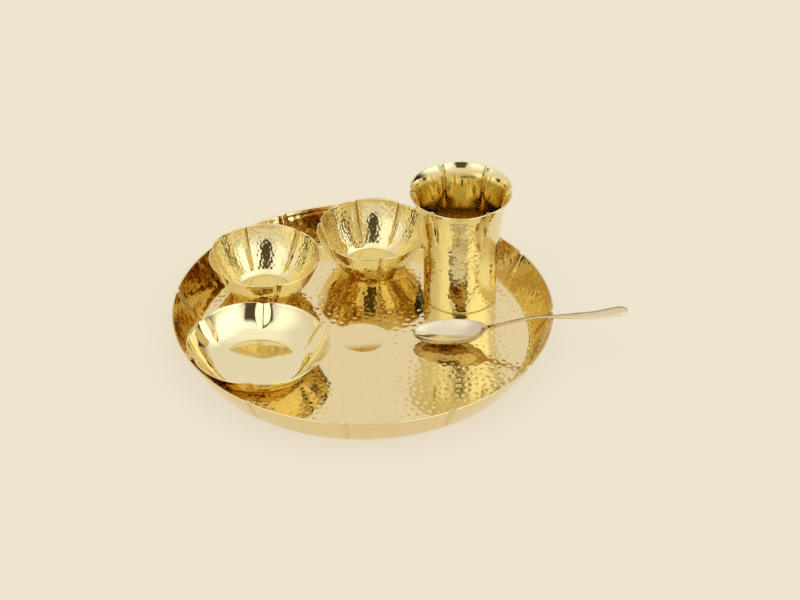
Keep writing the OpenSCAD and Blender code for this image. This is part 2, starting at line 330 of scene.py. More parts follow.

# %% [markdown]
# All five vessels are yellow brass, an alloy of about two parts copper and one part zinc. It is a metal, so
# its colour is in its mirror image, and each further bounce between two walls makes it deeper, from pale
# gold to amber and brown. The plate and the deep bowls were buffed after hammering, which leaves hairline
# arcs round the middle. The arcs are finer than the picture can show, so they are drawn at about half a
# millimetre. The eye gets a nearly sharp mirror image with a fine silky grain, and slow clouds of warmer and
# paler metal where hands and polish have been. The pressed flutes get painted shade: the brass there turns
# towards a warmer, darker colour.

# %% Brass
BRASS = "#e9d6a2"
BOWL_BRASS = "#eadaa6"
PALE_BRASS = "#ebddb0"
TUMBLER_BRASS = "#ecdfb0"
# This warmer, darker colour serves both the random clouds and the painted shade in the flutes.
BRASS_WARM_AND_SHADE = "#dfc78a"
ARC_PITCH = 0.5 * MM
ARC_DEEP = 0.0006 * MM
CLOUD_SIZE = 28 * MM
CLOUD_SHARE = 0.5
# Span over which the clouds and the painted flute shade turn the brass to its warmer, darker colour.
CLOUDS_AND_SHADE_SPAN = (0.2, 1.3)
GRAIN_SIZE = 1.4 * MM
GRAIN_FELT = (0.3, 0.75)
DULL_SHARES = (0.75, 1.4)


def brass(name, centre, rough, colour=BRASS, warm_and_shade=BRASS_WARM_AND_SHADE):
    material = bpy.data.materials.new(name)
    material.use_nodes = True
    tree = material.node_tree
    tree.nodes.clear()
    where = add(tree, "ShaderNodeTexCoord").outputs["Object"]
    middle = add(tree, "ShaderNodeMapping", {"Vector": where, "Location": tuple(-c for c in centre)})
    part = add(tree, "ShaderNodeSeparateXYZ", {0: middle.outputs[0]})
    flat = add(tree, "ShaderNodeCombineXYZ", {"X": part.outputs["X"], "Y": part.outputs["Y"]})
    out = add(tree, "ShaderNodeVectorMath", {0: flat.outputs[0]}, operation="LENGTH")
    run = add(tree, "ShaderNodeMath", {0: out.outputs["Value"], 1: part.outputs["Z"]}, operation="ADD")
    arcs = add(tree, "ShaderNodeTexNoise", {"W": run.outputs[0], "Scale": 1 / ARC_PITCH, "Detail": 2.0},
               noise_dimensions="1D")
    clouds = add(tree, "ShaderNodeTexNoise", {"Vector": where, "Scale": 1 / CLOUD_SIZE, "Detail": 3.0})
    grain = add(tree, "ShaderNodeTexNoise", {"Vector": where, "Scale": 1 / GRAIN_SIZE, "Detail": 4.0})
    # The flute press stored by the flute tree paints shade into the flutes as a warmer, darker colour.
    crease = add(tree, "ShaderNodeAttribute", attribute_name="crease")
    mixed = add(tree, "ShaderNodeMath", {0: clouds.outputs["Fac"], 1: CLOUD_SHARE, 2: crease.outputs["Fac"]},
                operation="MULTIPLY_ADD")
    clouds_and_shade_share = add(tree, "ShaderNodeMapRange", {"Value": mixed.outputs[0], "From Min": CLOUDS_AND_SHADE_SPAN[0],
                                            "From Max": CLOUDS_AND_SHADE_SPAN[1]})
    metal = add(tree, "ShaderNodeMix",
                {0: clouds_and_shade_share.outputs[0], MIX_A: linear(colour), MIX_B: linear(warm_and_shade)}, data_type="RGBA")
    dull = add(tree, "ShaderNodeMapRange", {"Value": grain.outputs["Fac"], "From Min": GRAIN_FELT[0],
                                            "From Max": GRAIN_FELT[1], "To Min": rough * DULL_SHARES[0],
                                            "To Max": rough * DULL_SHARES[1]})
    fine = add(tree, "ShaderNodeBump", {"Strength": 1.0, "Distance": ARC_DEEP,
                                        "Height": arcs.outputs["Fac"]})
    shader = add(tree, "ShaderNodeBsdfPrincipled",
                 {"Base Color": metal.outputs[MIX_OUT], "Metallic": 1.0, "Roughness": dull.outputs[0],
                  "Normal": fine.outputs[0]})
    add(tree, "ShaderNodeOutputMaterial", {"Surface": shader.outputs[0]})
    return material


print("one bounce in brass keeps", [round(c, 2) for c in linear(BRASS)[:3]])

# %% [markdown]
# Each vessel starts as a flat round sheet that is spun or pressed over a form, so its wall is one outline
# turned about an upright axis. The outline is a smooth curve through a few points, each a share of the way
# from the foot to the rim and a share of the height. The inside is the same curve moved in by the sheet's
# thickness.

# %% Outline of a turned sheet
CURVE_STEPS = 10
FLOOR_LAP_SHARE = 0.08
RIM_TURNS = 6


def smooth(points, steps):
    p = np.array([points[0]] + list(points) + [points[-1]], float)
    t = np.linspace(0, 1, steps, endpoint=False)[:, None]
    runs = [0.5 * (2 * b + (c - a) * t + (2 * a - 5 * b + 4 * c - d) * t ** 2
                   + (3 * b - a - 3 * c + d) * t ** 3)
            for a, b, c, d in zip(p[:-3], p[1:-2], p[2:-1], p[3:])]
    return np.vstack(runs + [p[-1:]])


def wall_outside(shape):
    share = smooth(shape["outline"], CURVE_STEPS)
    r = shape["foot_r"] + (shape["rim_r"] - shape["foot_r"]) * share[:, 0]
    z = (shape["height"] - shape["wall"] / 2) * np.maximum(share[:, 1], 0)
    return np.vstack([[shape["foot_r"] * (1 - FLOOR_LAP_SHARE), 0], np.column_stack([r, z])])


def wall_inside(path, wall):
    way = np.gradient(path, axis=0)
    way[0], way[-1] = (1, 0), (0, 1)
    way /= np.linalg.norm(way, axis=1)[:, None]
    return path + np.column_stack([-way[:, 1], way[:, 0]]) * wall


def evenly(path, step):
    run = np.concatenate([[0], np.cumsum(np.linalg.norm(np.diff(path, axis=0), axis=1))])
    at = np.linspace(0, run[-1], max(2, round(run[-1] / step) + 1))
    return np.column_stack([np.interp(at, run, path[:, k]) for k in (0, 1)])


def rim_round(rim_r, wall, top):
    turn = np.linspace(0, math.pi, RIM_TURNS + 2)[1:-1]
    return np.column_stack([rim_r - wall / 2 + wall / 2 * np.cos(turn), top + wall / 2 * np.sin(turn)])


print("points in a curve through two:", len(smooth([(0, 0), (1, 1)], CURVE_STEPS)))

# %% [markdown]
# The outline is turned into rings of points. A ring near the middle needs fewer points than one at the rim,
# so the number halves whenever the radius has halved, and the faces between such rings are triangles. A
# Screw modifier could turn the outline too, but it would crowd the middle with slivers. The sheet is closed:
# it runs from the middle of the underside, up the outside, over the rim and back down the inside to the
# middle of the floor. Each point keeps the number of its ring, which tells later where it was hammered.

# %% Turning the outline into a closed sheet
LEAST_COLUMNS = 8


def columns_at(r, rim_r, columns):
    count = columns
    while count > LEAST_COLUMNS and count % 2 == 0 and r < rim_r * 0.5 * count / columns:
        count //= 2
    return count


def between(first, n, second, m):
    if n == m:
        i = np.arange(n)
        j = (i + 1) % n
        return np.column_stack([first + i, first + j, second + j, second + i]).tolist()
    k = np.arange(min(n, m))
    after = (k + 1) % min(n, m)
    if n > m:
        a, b, c = first + 2 * k, first + 2 * k + 1, first + (2 * k + 2) % n
        rows = [(a, b, second + k), (b, second + after, second + k), (b, c, second + after)]
    else:
        a, b, c = second + 2 * k, second + 2 * k + 1, second + (2 * k + 2) % m
        rows = [(first + k, b, a), (first + k, first + after, b), (first + after, c, b)]
    return [face for row in rows for face in np.column_stack(row).tolist()]


def turned_sheet(name, rings, rim_r, columns):
    points, faces, starts, counts = [(0.0, 0.0, rings[0][1])], [], [], []
    for r, z in rings:
        count = columns_at(r, rim_r, columns)
        turn = np.arange(count) * 2 * math.pi / count
        starts.append(len(points))
        counts.append(count)
        points.extend(np.column_stack([r * np.cos(turn), r * np.sin(turn), np.full(count, z)]).tolist())
    top = len(points)
    points.append((0.0, 0.0, rings[-1][1]))
    faces += [(0, starts[0] + (i + 1) % counts[0], starts[0] + i) for i in range(counts[0])]
    for a, n, b, m in zip(starts, counts, starts[1:], counts[1:]):
        faces += between(a, n, b, m)
    faces += [(starts[-1] + i, starts[-1] + (i + 1) % counts[-1], top) for i in range(counts[-1])]
    mesh = bpy.data.meshes.new(name)
    mesh.from_pydata((np.array(points) * MM).tolist(), [], faces)
    mesh.polygons.foreach_set("use_smooth", [True] * len(mesh.polygons))
    piece = bpy.data.objects.new(name, mesh)
    bpy.context.scene.collection.objects.link(piece)
    return piece, np.repeat(np.arange(len(rings)), counts)


print("a ring has at least", LEAST_COLUMNS, "columns")

# %% [markdown]
# The rings themselves follow the way round the sheet. The floor has a hammered outer part with fine rings,
# and a smooth middle with wider ones, which may be dished: its depth falls off as a parabola from the
# middle to a radius of 20 mm.

# %% Rings of a sheet
MIDDLE_STEP = 1.6
MIDDLE_LAST_SHARE = 0.6
DISHED_R = 20.0
UNDER_HALVINGS = 5


def sheet_rings(shape):
    outside = evenly(wall_outside(shape), shape["coarse"])
    inside = evenly(wall_inside(wall_outside(shape), shape["wall"])[::-1], shape["fine"])
    rim = rim_round(shape["rim_r"], shape["wall"], outside[-1][1])
    under = [(outside[0][0] * 0.5 ** k, 0.0) for k in range(UNDER_HALVINGS, 0, -1)]
    floor_r = np.arange(inside[-1][0] - shape["fine"], shape["plain_r"], -shape["fine"])
    floor = [(r, shape["wall"]) for r in floor_r]
    middle_r = np.append(np.arange(shape["plain_r"], MIDDLE_STEP, -MIDDLE_STEP),
                         MIDDLE_LAST_SHARE * MIDDLE_STEP)
    sunk = shape["dished"] * np.maximum(1 - (middle_r / DISHED_R) ** 2, 0)
    middle = list(zip(middle_r, shape["wall"] - sunk))
    rows = [("under", under), ("outside", outside), ("rim", rim), ("inside", inside), ("floor", floor),
            ("middle", middle)]
    parts = [part for part, ring in rows for _ in ring]
    return np.array([tuple(p) for _, ring in rows for p in ring]), parts


print("rings lie", MIDDLE_STEP, "mm apart in the smooth middle")

# %% [markdown]
# The flutes were pressed into the finished wall with a narrow tool, from the rim downward. Their directions
# were set by hand, so they are not quite even. A Geometry Nodes tree can follow that rule: a set of marks on
# a unit circle stands for the directions, and every point of the wall moves in by how near its own direction
# is to a mark, and by how high it stands. Between two flutes the wall swells out a little as a lobe. The
# same tree makes the narrow rounded flutes of the plate, the deep bowls and the tumbler, and the wide folded
# ones of the shallow bowl, which are shaped like a lens.

# %% Geometry Nodes tree for the flutes
LENS_TOP = 1.25
LENS_FULLNESS = 0.7


def new_tree(name, inputs):
    tree = bpy.data.node_groups.new(name, "GeometryNodeTree")
    tree.interface.new_socket("Geometry", in_out="INPUT", socket_type="NodeSocketGeometry")
    for title, kind in inputs:
        tree.interface.new_socket(title, in_out="INPUT", socket_type="NodeSocket" + kind)
    tree.interface.new_socket("Geometry", in_out="OUTPUT", socket_type="NodeSocketGeometry")
    return tree, add(tree, "NodeGroupInput").outputs


def finish_tree(tree, geometry, given):
    real = add(tree, "GeometryNodeRealizeInstances", {0: geometry})
    dressed = add(tree, "GeometryNodeSetMaterial", {0: real.outputs[0], "Material": given["Finish"]})
    add(tree, "NodeGroupOutput", {0: dressed.outputs[0]})
    return tree


def flute_tree():
    tree, given = new_tree("pressed flutes", [
        ("Flute Marks", "Object"), ("Half Flute", "Float"), ("Flute Deep", "Float"), ("Lens Share", "Float"),
        ("Soft Share", "Float"), ("Lobe Swell", "Float"), ("Half Lobe", "Float"), ("Wall Height", "Float"),
        ("Fade Share", "Float"), ("Full Share", "Float"), ("Finish", "Material")])
    place = add(tree, "GeometryNodeInputPosition").outputs[0]
    part = add(tree, "ShaderNodeSeparateXYZ", {0: place})
    flat = add(tree, "ShaderNodeCombineXYZ", {"X": part.outputs["X"], "Y": part.outputs["Y"]})
    out = add(tree, "ShaderNodeVectorMath", {0: flat.outputs[0]}, operation="NORMALIZE").outputs[0]
    marks = add(tree, "GeometryNodeObjectInfo", {"Object": given["Flute Marks"]})
    near = add(tree, "GeometryNodeProximity", {0: marks.outputs["Geometry"], 2: out},
               target_element="POINTS")
    half = add(tree, "ShaderNodeMath", {0: near.outputs["Distance"], 1: 0.5}, operation="MULTIPLY")
    turn = add(tree, "ShaderNodeMath", {0: half.outputs[0]}, operation="ARCSINE")
    turn = add(tree, "ShaderNodeMath", {0: turn.outputs[0], 1: 2.0}, operation="MULTIPLY").outputs[0]

    # How high the point stands, and how much of the flute and of the lobe is there
    high = add(tree, "ShaderNodeMath", {0: part.outputs["Z"], 1: given["Wall Height"]}, operation="DIVIDE")
    grown = add(tree, "ShaderNodeMapRange", {"Value": high.outputs[0], "From Min": given["Fade Share"],
                                             "From Max": given["Full Share"]},
                interpolation_type="SMOOTHSTEP").outputs[0]

    # A lens-shaped flute is widest and deepest two thirds of the way up and pointed below
    bow = add(tree, "ShaderNodeMapRange", {"Value": high.outputs[0], "From Min": given["Fade Share"],
                                           "From Max": LENS_TOP, "To Max": math.pi})
    bow = add(tree, "ShaderNodeMath", {0: bow.outputs[0]}, operation="SINE")
    bow = add(tree, "ShaderNodeMath", {0: bow.outputs[0], 1: LENS_FULLNESS}, operation="POWER")
    lens = add(tree, "ShaderNodeMix", {0: given["Lens Share"], 2: 1.0, 3: bow.outputs[0]})
    wide = add(tree, "ShaderNodeMath", {0: given["Half Flute"], 1: lens.outputs[0]}, operation="MULTIPLY")
    straight = add(tree, "ShaderNodeMapRange", {"Value": turn, "From Max": wide.outputs[0], "To Min": 1.0,
                                                "To Max": 0.0})
    across = add(tree, "ShaderNodeMapRange", {"Value": turn, "From Max": wide.outputs[0],
                                              "To Max": math.pi / 2})
    rounded = add(tree, "ShaderNodeMath", {0: across.outputs[0]}, operation="COSINE")
    press = add(tree, "ShaderNodeMix", {0: given["Soft Share"], 2: straight.outputs[0],
                                        3: rounded.outputs[0]})
    sunk = add(tree, "ShaderNodeMath", {0: press.outputs[0], 1: given["Flute Deep"]}, operation="MULTIPLY")
    sunk = add(tree, "ShaderNodeMath", {0: sunk.outputs[0], 1: lens.outputs[0]}, operation="MULTIPLY")

    # The lobe between two flutes follows half a sine wave
    along = add(tree, "ShaderNodeMapRange", {"Value": turn, "From Max": given["Half Lobe"],
                                             "To Max": math.pi / 2})
    swell = add(tree, "ShaderNodeMath", {0: along.outputs[0]}, operation="SINE")
    swell = add(tree, "ShaderNodeMath", {0: 1.0, 1: swell.outputs[0]}, operation="SUBTRACT")
    total = add(tree, "ShaderNodeMath", {0: swell.outputs[0], 1: given["Lobe Swell"], 2: sunk.outputs[0]},
                operation="MULTIPLY_ADD")
    total = add(tree, "ShaderNodeMath", {0: total.outputs[0], 1: grown}, operation="MULTIPLY")
    move = add(tree, "ShaderNodeVectorMath", {0: out, "Scale": total.outputs[0]}, operation="SCALE")
    move = add(tree, "ShaderNodeVectorMath", {0: (0, 0, 0), 1: move.outputs[0]}, operation="SUBTRACT")
    pressed = add(tree, "GeometryNodeSetPosition", {0: given["Geometry"], "Offset": move.outputs[0]})
    # The press is kept on the points so that the brass can paint shade into the flutes.
    crease = add(tree, "ShaderNodeMath", {0: press.outputs[0], 1: grown}, operation="MULTIPLY")
    noted = add(tree, "GeometryNodeStoreNamedAttribute",
                {0: pressed.outputs[0], "Name": "crease", "Value": crease.outputs[0]})
    return finish_tree(tree, noted.outputs[0], given)


FLUTES = flute_tree()
print(FLUTES.name, "has", len(FLUTES.nodes), "nodes")

# %% [markdown]
# Hammer marks are shallow round dents that lie close together but never in rows. Poisson points scattered on
# the sheet keep a least distance, as a careful smith's blows do. Each point of the sheet sinks along its own
# normal by how near it lies to the nearest blow. Where blows overlap they meet in fine ridges, which is what
# makes a hammered wall sparkle. A bump texture could fake the dents, but real ones hold up from every side.
# The seed is fixed, so every run strikes the same blows.

# %% Geometry Nodes tree for the hammer marks
BLOW_TRIES = 6.0e5
BLOW_FORCE = (0.7, 1.2)


def hammer_tree():
    tree, given = new_tree("hammer marks", [
        ("Where", "String"), ("Blow Apart", "Float"), ("Blow Radius", "Float"), ("Blow Deep", "Float"),
        ("Blow Tall", "Float"), ("Seed", "Int"), ("Finish", "Material")])
    where = add(tree, "GeometryNodeInputNamedAttribute", {"Name": given["Where"]}).outputs[0]
    field = add(tree, "GeometryNodeSeparateGeometry", {0: given["Geometry"], "Selection": where})
    blows = add(tree, "GeometryNodeDistributePointsOnFaces",
                {0: field.outputs["Selection"], "Distance Min": given["Blow Apart"],
                 "Density Max": BLOW_TRIES, "Seed": given["Seed"]}, distribute_method="POISSON")

    # A tall mark is a round one in a space that is pressed together from above
    short = add(tree, "ShaderNodeMath", {0: 1.0, 1: given["Blow Tall"]}, operation="DIVIDE")
    squash = add(tree, "ShaderNodeCombineXYZ", {"X": 1.0, "Y": 1.0, "Z": short.outputs[0]})
    place = add(tree, "ShaderNodeVectorMath", {0: add(tree, "GeometryNodeInputPosition").outputs[0],
                                               1: squash.outputs[0]}, operation="MULTIPLY").outputs[0]
    spots = add(tree, "GeometryNodeSetPosition", {0: blows.outputs["Points"], "Position": place}).outputs[0]
    near = add(tree, "GeometryNodeProximity", {0: spots, 2: place}, target_element="POINTS")
    which = add(tree, "GeometryNodeSampleNearest", {0: spots, 1: place}, domain="POINT")
    force = add(tree, "FunctionNodeRandomValue", {2: BLOW_FORCE[0], 3: BLOW_FORCE[1],
                                                  "Seed": given["Seed"]})
    size = add(tree, "GeometryNodeSampleIndex",
               {0: blows.outputs["Points"], 1: force.outputs[1], "Index": which.outputs[0]}).outputs[0]
    reach = add(tree, "ShaderNodeMath", {0: size, 1: given["Blow Radius"]}, operation="MULTIPLY")
    share = add(tree, "ShaderNodeMath", {0: near.outputs["Distance"], 1: reach.outputs[0]},
                operation="DIVIDE")
    square = add(tree, "ShaderNodeMath", {0: share.outputs[0], 1: share.outputs[0]}, operation="MULTIPLY")
    bowl = add(tree, "ShaderNodeMath", {0: 1.0, 1: square.outputs[0]}, operation="SUBTRACT", use_clamp=True)
    deep = add(tree, "ShaderNodeMath", {0: bowl.outputs[0], 1: size}, operation="MULTIPLY")
    deep = add(tree, "ShaderNodeMath", {0: deep.outputs[0], 1: where}, operation="MULTIPLY")
    push = add(tree, "ShaderNodeMath", {0: deep.outputs[0], 1: given["Blow Deep"]}, operation="MULTIPLY")
    normal = add(tree, "GeometryNodeInputNormal").outputs[0]
    move = add(tree, "ShaderNodeVectorMath", {0: normal, "Scale": push.outputs[0]}, operation="SCALE")
    move = add(tree, "ShaderNodeVectorMath", {0: (0, 0, 0), 1: move.outputs[0]}, operation="SUBTRACT")
    struck = add(tree, "GeometryNodeSetPosition", {0: given["Geometry"], "Offset": move.outputs[0]})
    return finish_tree(tree, struck.outputs[0], given)


HAMMER = hammer_tree()
print(HAMMER.name, "has", len(HAMMER.nodes), "nodes")

# %% [markdown]
# A tree's inputs are reached by their identifiers. Once both trees have run, the result is copied to a plain
# mesh, the modifiers go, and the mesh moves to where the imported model's own foot stands.

# %% Running the trees and placing a vessel
FOOT_SLICE = 0.01 * MM


def run_tree(piece, tree, values):
    modifier = piece.modifiers.new(tree.name, "NODES")
    modifier.node_group = tree
    for item in tree.interface.items_tree:
        if item.name in values:
            modifier[item.identifier] = values[item.name]


def make_plain(piece):
    graph = bpy.context.evaluated_depsgraph_get()
    graph.update()
    mesh = bpy.data.meshes.new_from_object(piece.evaluated_get(graph), preserve_all_data_layers=True,
                                           depsgraph=graph)
    piece.modifiers.clear()
    piece.data = mesh
    mesh.polygons.foreach_set("use_smooth", [True] * len(mesh.polygons))
    return mesh


def flute_marks(name, directions):
    mesh = bpy.data.meshes.new(name)
    turns = [math.radians(d) for d in directions]
    mesh.from_pydata([(math.cos(t), math.sin(t), 0) for t in turns], [], [])
    marks = bpy.data.objects.new(name, mesh)
    bpy.context.scene.collection.objects.link(marks)
    return marks


def foot_place(node):
    points = np.array([v.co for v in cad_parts[node].data.vertices])
    low = points[:, 2].min()
    foot = points[points[:, 2] < low + FOOT_SLICE]
    x, y = (foot.min(axis=0) + foot.max(axis=0))[:2] / 2
    return Vector((x, y, low))


def hammered_at(rings, parts, wanted):
    return np.array([1.0 if wanted(part, r, z) else 0.0 for part, (r, z) in zip(parts, rings)])


def vessel(node, shape, finish, hammering):
    rings, parts = sheet_rings(shape)
    piece, ring_of = turned_sheet("brass_" + node, rings, shape["rim_r"], shape["columns"])
    marks = flute_marks(node + "_flute_marks", shape["flutes"])
    run_tree(piece, FLUTES, {
        "Flute Marks": marks, "Half Flute": math.atan(shape["flute_wide"] / 2 / shape["rim_r"]),
        "Flute Deep": shape["flute_deep"] * MM, "Lens Share": shape["lens"], "Soft Share": shape["soft"],
        "Lobe Swell": shape["lobe"] * MM, "Half Lobe": math.pi / len(shape["flutes"]),
        "Wall Height": shape["height"] * MM, "Fade Share": shape["fade"], "Full Share": shape["full"],
        "Finish": finish})
    for place, blow in hammering.items():
        force = hammered_at(rings, parts, blow["wanted"])[ring_of]
        attribute = piece.data.attributes.new(place, "FLOAT", "POINT")
        attribute.data.foreach_set("value", np.concatenate([[0.0], force, [0.0]]).astype(np.float32))
        run_tree(piece, HAMMER, {
            "Where": place, "Blow Apart": blow["apart"] * MM, "Blow Radius": blow["radius"] * MM,
            "Blow Deep": blow["deep"] * MM, "Blow Tall": blow["tall"], "Seed": blow["seed"],
            "Finish": finish})
    mesh = make_plain(piece)
    bpy.data.objects.remove(marks)
    mesh.transform(Matrix.Translation(foot_place(node)))
    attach(piece, node)
    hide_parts(node)
    triangles = sum(len(p.vertices) - 2 for p in mesh.polygons)
    print(piece.name, triangles, "triangles,", [m.name for m in mesh.materials])
    return piece


print("the plate's foot is centred at", [round(v / MM, 1) for v in foot_place("plate")], "mm")

# %% [markdown]
# The plate is the thali itself: a flat floor, a wall that flares to a plain rim, and twelve narrow flutes.
# Its floor has scattered small marks outside a smooth middle, which was struck flat last and sank by about a
# millimetre. Its wall was hammered all over on the inside, and the outside of the wall was left smooth.
# Lengths are in millimetres. Rings lie coarse apart on the outside and fine apart on the inside. Fade and
# full are the shares of the height between which a flute grows, lens and soft say how it is shaped, and
# lobe is how far the wall swells between two flutes.

# %% Plate
PLATE = {
    "outline": [(0, 0), (0.16, 0.02), (0.3, 0.1), (0.43, 0.24), (0.72, 0.6), (1, 1)],
    "foot_r": 130.5, "rim_r": 152.5, "height": 29.0, "wall": 1.5, "fade": 0.04, "full": 0.4,
    "flutes": [-1, 31, 60, 88, 116, 143, 169, 203, 234, 265, 297, 328],
    "flute_wide": 6.5, "flute_deep": 1.8, "lens": 0.0, "soft": 0.9, "lobe": 0.0,
    "columns": 704, "coarse": 2.4, "fine": 1.1, "plain_r": 25.0, "dished": 1.2,
}
PLATE_RIM_PLAIN = 2.0
PLATE_BLOWS = {
    "floor_blows": {"apart": 6.4, "radius": 1.9, "deep": 0.22, "tall": 1.0, "seed": 3,
                    "wanted": lambda part, r, z: part in ("floor", "inside") and r < 129 and z < 1.6},
    "wall_blows": {"apart": 5.5, "radius": 4.6, "deep": 0.2, "tall": 1.0, "seed": 5,
                   "wanted": lambda part, r, z: part == "inside" and r > 131
                   and z < PLATE["height"] - PLATE_RIM_PLAIN},
}
plate_place = foot_place("plate")
plate_metal = brass("yellow brass, hammered and buffed", plate_place, rough=0.07)
plate = vessel("plate", PLATE, plate_metal, PLATE_BLOWS)

# %% [markdown]
# The two deep bowls, katoris, were pressed over the same form and fluted by hand, so one table and a loop
# serve both, and only their flutes differ. Their walls carry fine hammering inside and hardly any outside,
# and their flat floors are smooth.

# %% Deep bowls
DEEP_BOWL = {
    "outline": [(0, 0), (0.065, 0.027), (0.16, 0.08), (0.27, 0.164), (0.405, 0.274), (0.535, 0.384),
                (0.65, 0.493), (0.75, 0.603), (0.85, 0.74), (0.935, 0.877), (1, 1)],
    "foot_r": 22.5, "rim_r": 45.5, "height": 36.5, "wall": 1.1, "fade": 0.04, "full": 0.35,
    "flute_wide": 5.5, "flute_deep": 1.6, "lens": 0.0, "soft": 0.9, "lobe": 0.9,
    "columns": 448, "coarse": 0.9, "fine": 0.6, "plain_r": 19.5, "dished": 0.0,
}
LEFT_FLUTES = [-10, 52, 114, 168, 220, 284]
BACK_FLUTES = [-14, 57, 110, 166, 224, 280]
DEEP_BOWL_BLOWS = {
    "inside_blows": {"apart": 2.6, "radius": 2.0, "deep": 0.17, "tall": 2.0, "seed": 7,
                     "wanted": lambda part, r, z: part == "inside" and 4 < z < 34.5},
    "outside_blows": {"apart": 2.8, "radius": 2.0, "deep": 0.07, "tall": 1.8, "seed": 8,
                      "wanted": lambda part, r, z: part == "outside" and 3 < z < 34},
}
for node, flutes in (("katori_left", LEFT_FLUTES), ("katori_back", BACK_FLUTES)):
    bowl_metal = brass("yellow brass, finely hammered, " + node, foot_place(node), rough=0.07,
                       colour=BOWL_BRASS)
    vessel(node, {**DEEP_BOWL, "flutes": flutes}, bowl_metal, DEEP_BOWL_BLOWS)

# %% [markdown]
# The shallow bowl wasn't hammered but polished to a mirror. Its six flutes are wide and shaped like a lens,
# with a sharp fold down the middle, so they take the straight fall-off instead of the rounded one. A fold
# is deepest where its lens is widest.

# %% Shallow bowl
SHALLOW_BOWL = {
    "outline": [(0, 0), (0.08, 0.018), (0.2, 0.067), (0.385, 0.178), (0.585, 0.356), (0.75, 0.556),
                (0.9, 0.8), (1, 1)],
    "foot_r": 32.5, "rim_r": 57.0, "height": 22.5, "wall": 1.1, "fade": 0.02, "full": 0.6,
    "flutes": [-34, 22, 86, 144, 204, 263],
    "flute_wide": 15.0, "flute_deep": 2.3, "lens": 1.0, "soft": 0.1, "lobe": 1.5,
    "columns": 512, "coarse": 0.9, "fine": 0.8, "plain_r": 28.5, "dished": 0.0,
}
mirror_metal = brass("yellow brass, mirror polished", foot_place("shallow_bowl"), rough=0.06,
                     colour=PALE_BRASS, warm_and_shade=PALE_BRASS)
shallow_bowl = vessel("shallow_bowl", SHALLOW_BOWL, mirror_metal, {})

# %% [markdown]
# The tumbler flares at its lip, where six short flutes end in notches. Its body was hammered from outside up
# to the lip, and its inside still shows the fine rings of the spinning lathe.

# %% Tumbler
TUMBLER = {
    "outline": [(0, 0), (0.023, 0.015), (0.038, 0.08), (0.054, 0.3), (0.085, 0.455), (0.146, 0.525),
                (0.231, 0.595), (0.331, 0.673), (0.423, 0.752), (0.515, 0.822), (0.615, 0.881),
                (0.715, 0.926), (0.823, 0.96), (0.908, 0.98), (1, 1)],
    "foot_r": 29.0, "rim_r": 42.0, "height": 101.0, "wall": 1.1, "fade": 0.62, "full": 0.85,
    "flutes": [1, 56, 112, 177, 234, 302],
    "flute_wide": 5.0, "flute_deep": 1.7, "lens": 0.0, "soft": 0.9, "lobe": 0.9,
    "columns": 384, "coarse": 0.75, "fine": 1.5, "plain_r": 25.0, "dished": 0.0,
}
TUMBLER_BLOWS = {
    "body_blows": {"apart": 3.0, "radius": 2.5, "deep": 0.13, "tall": 1.3, "seed": 11,
                   "wanted": lambda part, r, z: part == "outside" and 4 < z < 95},
}
tumbler_metal = brass("yellow brass, hammered body and turned inside", foot_place("tumbler"), rough=0.07,
                      colour=TUMBLER_BRASS)
tumbler = vessel("tumbler", TUMBLER, tumbler_metal, TUMBLER_BLOWS)

# %% [markdown]
# The spoon is a forging of nickel silver, paler than the brass around it. Its length is a row of
# cross-sections: each has a half width, the height of its edge, and how deep it is hollowed or crowned. The
# handle leaves the bowl through a narrow neck, rises to the plate's rim and ends wide and round. It could be
# sculpted from a block, but a row of cross-sections keeps every measured width in its place. Lengths are in
# millimetres, and places along the handle are shares of its length.

# %% Cross-sections of the spoon
SPOON = {"bowl_l": 59.5, "bowl_w": 33.5, "bowl_d": 9.5, "rise": 9.8, "handle_l": 113.5, "neck_w": 3.8,
         "end_w": 13.5, "end_lift": 3.4, "crown": 0.5, "wall": 1.6}
BOWL_ANGLES = np.radians(np.concatenate([[2, 4, 7], np.arange(10, 151, 3)]))
BOWL_BELLY = 1.3
NECK_START, NECK_LONG, END_TURN = 0.43, 2.05, 0.72
FLARE_START, FLARE_LONG = 0.42, 0.51
TIP_START, TIP_LONG, TIP_END = 0.93, 0.07, 0.9998
ROOT_SHARE, ROOT_LONG = 0.33, 0.1
CROWN_HOLD = 1.2
STEM_ROWS, FLARE_ROWS, TIP_ROWS = 60, 110, 24


def ease(t):
    t = np.clip(t, 0, 1)
    return t * t * (3 - 2 * t)


def spoon_rows():
    half_l = SPOON["bowl_l"] / 2
    bowl_s = -half_l * np.cos(BOWL_ANGLES)
    handle_t = np.concatenate([np.linspace(0, 0.5, STEM_ROWS), np.linspace(0.505, TIP_START, FLARE_ROWS),
                               1 - TIP_LONG * np.cos(np.linspace(0.05, 1, TIP_ROWS) * math.pi / 2)])
    handle_t[-1] = TIP_END
    handle_s = half_l + handle_t * SPOON["handle_l"]
    flare = ease((handle_t - FLARE_START) / FLARE_LONG)
    wide = SPOON["neck_w"] + (SPOON["end_w"] - SPOON["neck_w"]) * flare
    tip = np.sqrt(1 - np.clip((handle_t - TIP_START) / TIP_LONG, 0, 1) ** 2)
    root = SPOON["neck_w"] * ROOT_SHARE * (1 - ease(handle_t / ROOT_LONG))
    s = np.concatenate([bowl_s, handle_s])
    half_w = np.concatenate([SPOON["bowl_w"] / 2 * np.sin(BOWL_ANGLES), wide / 2 * tip + root])
    edge = SPOON["rise"] * ease((s / half_l - NECK_START) / NECK_LONG)
    edge[len(bowl_s):] += SPOON["end_lift"] * ease((handle_t - END_TURN) / (1 - END_TURN))
    crown = -SPOON["crown"] * ease(handle_t / ROOT_LONG) * np.minimum(1, tip * CROWN_HOLD)
    hollow = np.concatenate([SPOON["bowl_d"] * np.sin(BOWL_ANGLES) ** BOWL_BELLY, crown])
    return s, half_w, edge, hollow


print("spoon:", len(spoon_rows()[0]), "cross-sections")

